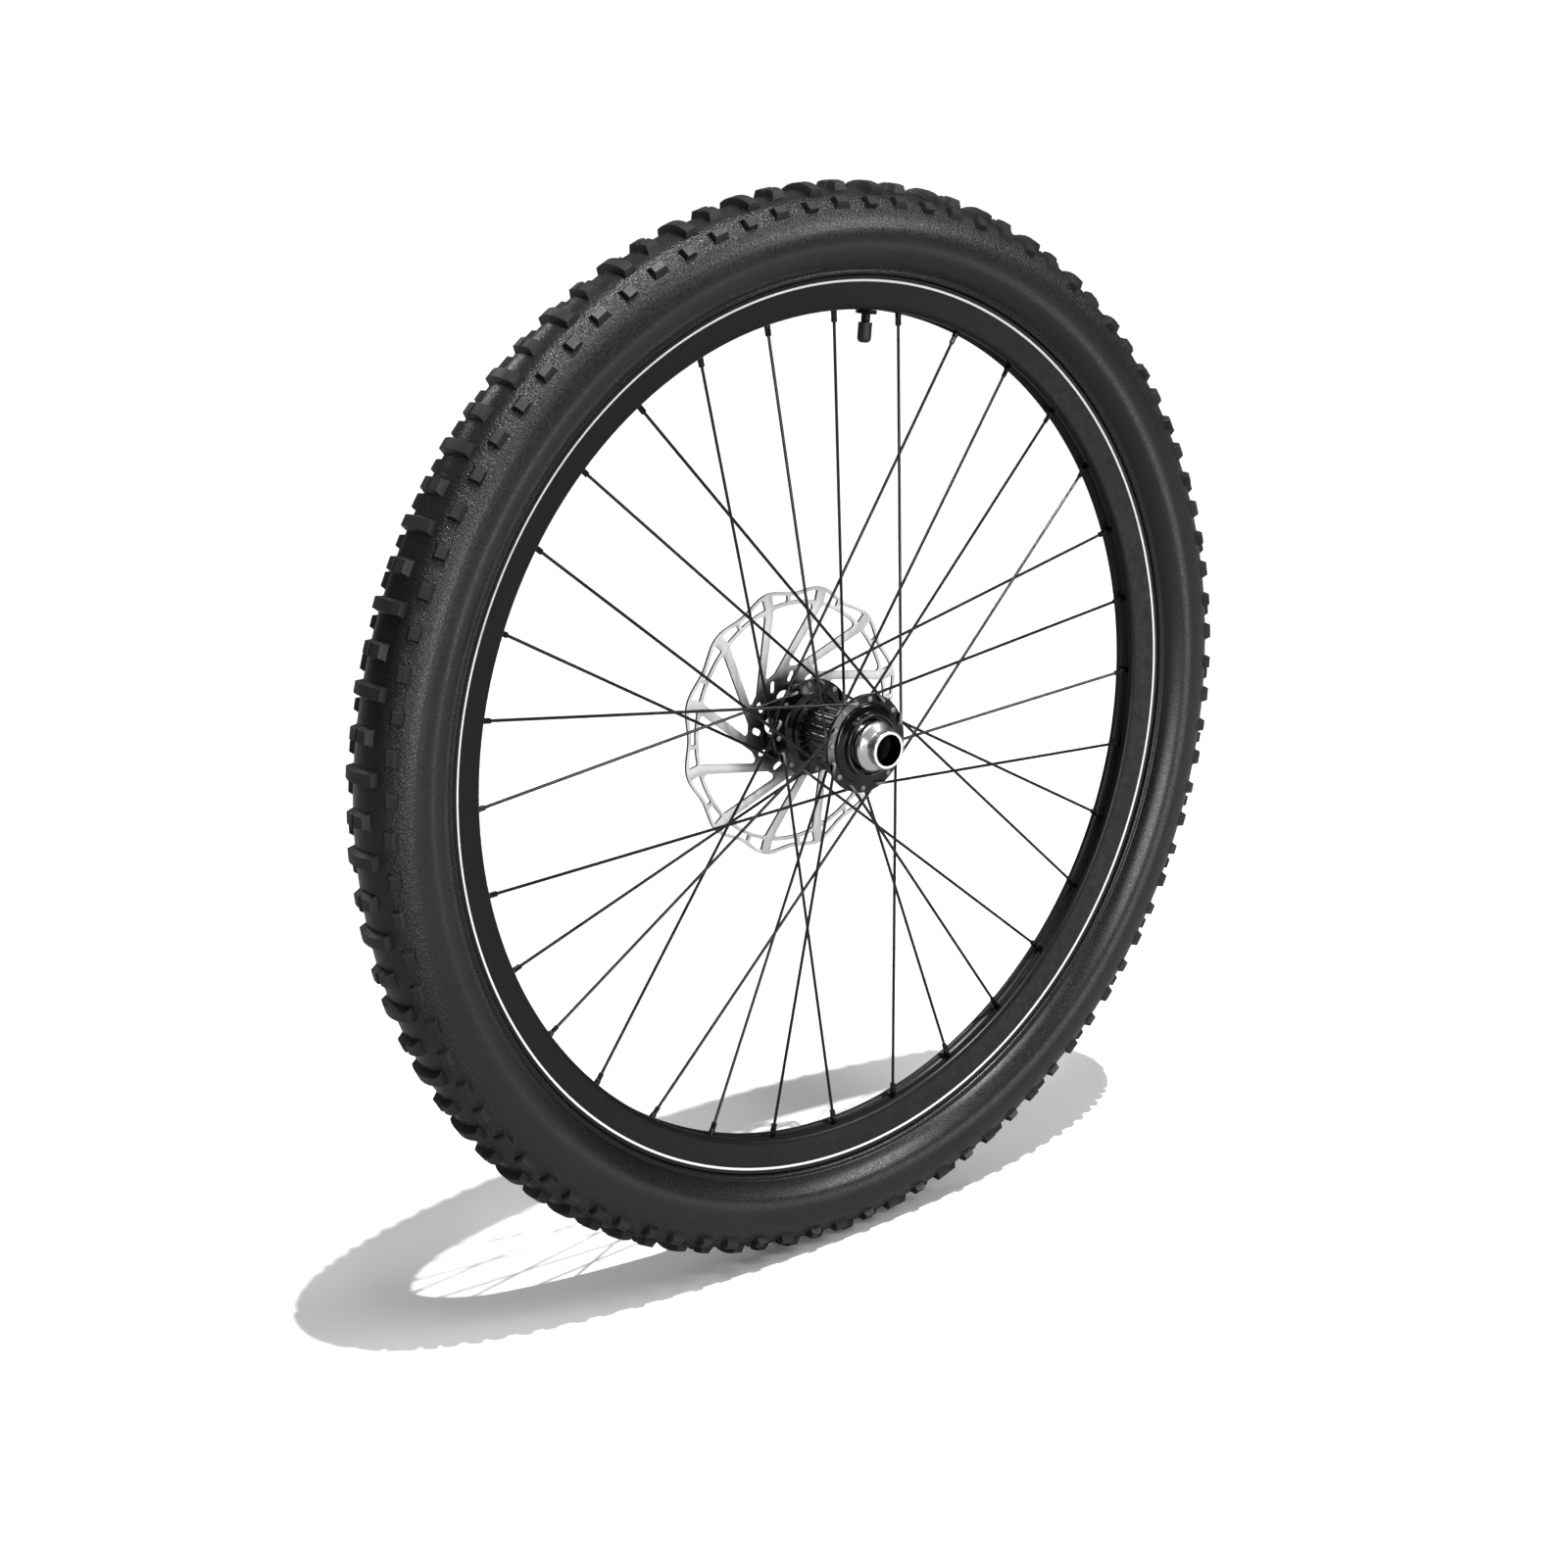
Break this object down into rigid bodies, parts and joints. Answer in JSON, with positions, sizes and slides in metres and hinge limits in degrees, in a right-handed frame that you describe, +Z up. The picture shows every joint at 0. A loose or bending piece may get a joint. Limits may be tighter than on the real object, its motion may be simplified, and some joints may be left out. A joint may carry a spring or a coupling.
{
  "type": "spoked wheel",
  "caption": "Mountain-bike front wheel: knobbly tyre on a spoked rim, turning on a hub with sealed bearings, through-axle end caps and a brake rotor.",
  "frame": {"origin": "wheel centre on the axle line, midway between the two end faces", "axes": "+Y along the axle toward the brake side (the rider's left), +Z up, +X forward"},
  "size_m": [0.7088, 0.11, 0.7089],
  "materials": {
    "black_alloy": "black anodised",
    "cap_silver": "bright machined",
    "hub_black": "glossy black anodised",
    "rotor_steel": "bright, blackened toward the centre",
    "bolt_black": "black, satin",
    "nipple_black": "black, satin",
    "rim_black": "satin black",
    "tape": "plain",
    "pinstripe": "white paint",
    "tyre": "matte rubber",
    "tube_rubber": "matte rubber",
    "valve_black": "black, satin",
    "valve_brass": "plain",
    "cap_plastic": "black plastic",
    "spoke_black": "black, semi-gloss",
    "wire_steel": "plain",
    "seal": "dark rubber",
    "cage": "nylon",
    "bearing_steel": "ground"
  },
  "bodies": {
    "axle": {"axle_tube": "black_alloy", "end_cap_right": "cap_silver", "end_cap_left": "cap_silver", "bearing_inner_right": "bearing_steel", "bearing_inner_left": "bearing_steel"},
    "balls_right": {"bearing_balls_right": "bearing_steel", "bearing_cage_right": "cage"},
    "balls_left": {"bearing_balls_left": "bearing_steel", "bearing_cage_left": "cage"},
    "wheel": {"hub_shell": "hub_black", "bearing_outer_right": "bearing_steel", "bearing_outer_left": "bearing_steel", "bearing_seals_right": "seal", "bearing_seals_left": "seal", "dust_cover_right": "hub_black", "dust_cover_left": "hub_black", "brake_rotor": "rotor_steel", "rotor_bolts": "bolt_black", "spokes_right_trailing": "spoke_black", "spokes_right_leading": "spoke_black", "spokes_left_trailing": "spoke_black", "spokes_left_leading": "spoke_black", "nipples": "nipple_black", "rim": "rim_black", "rim_tape": "tape", "pinstripe_right": "pinstripe", "pinstripe_left": "pinstripe", "tyre_casing": "tyre", "tread_centre_wide": "tyre", "tread_centre_narrow": "tyre", "tread_side_square": "tyre", "tread_side_bevel": "tyre", "bead_wire_right": "wire_steel", "bead_wire_left": "wire_steel", "inner_tube": "tube_rubber", "valve_stem": "valve_black", "valve_core": "valve_brass", "valve_nut": "valve_black"},
    "valve_cap": {"valve_cap": "cap_plastic"}
  },
  "joints": [
    {"name": "wheel_spin", "type": "hinge", "parent": "axle", "child": "wheel", "pos_m": [0, 0, 0], "axis": [0, 1, 0], "continuous": true},
    {"name": "balls_right_spin", "type": "hinge", "parent": "axle", "child": "balls_right", "pos_m": [0, -0.033, 0], "axis": [0, 1, 0], "continuous": true},
    {"name": "balls_left_spin", "type": "hinge", "parent": "axle", "child": "balls_left", "pos_m": [0, 0.033, 0], "axis": [0, 1, 0], "continuous": true},
    {"name": "valve_cap_pull", "type": "slide", "parent": "wheel", "child": "valve_cap", "axis": [-0.098, 0, -0.9952], "range_m": [0, 0.012]}
  ],
  "couplings": [
    {"joint": "balls_right_spin", "follows": "wheel_spin", "ratio": 0.5639},
    {"joint": "balls_left_spin", "follows": "wheel_spin", "ratio": 0.5639}
  ]
}
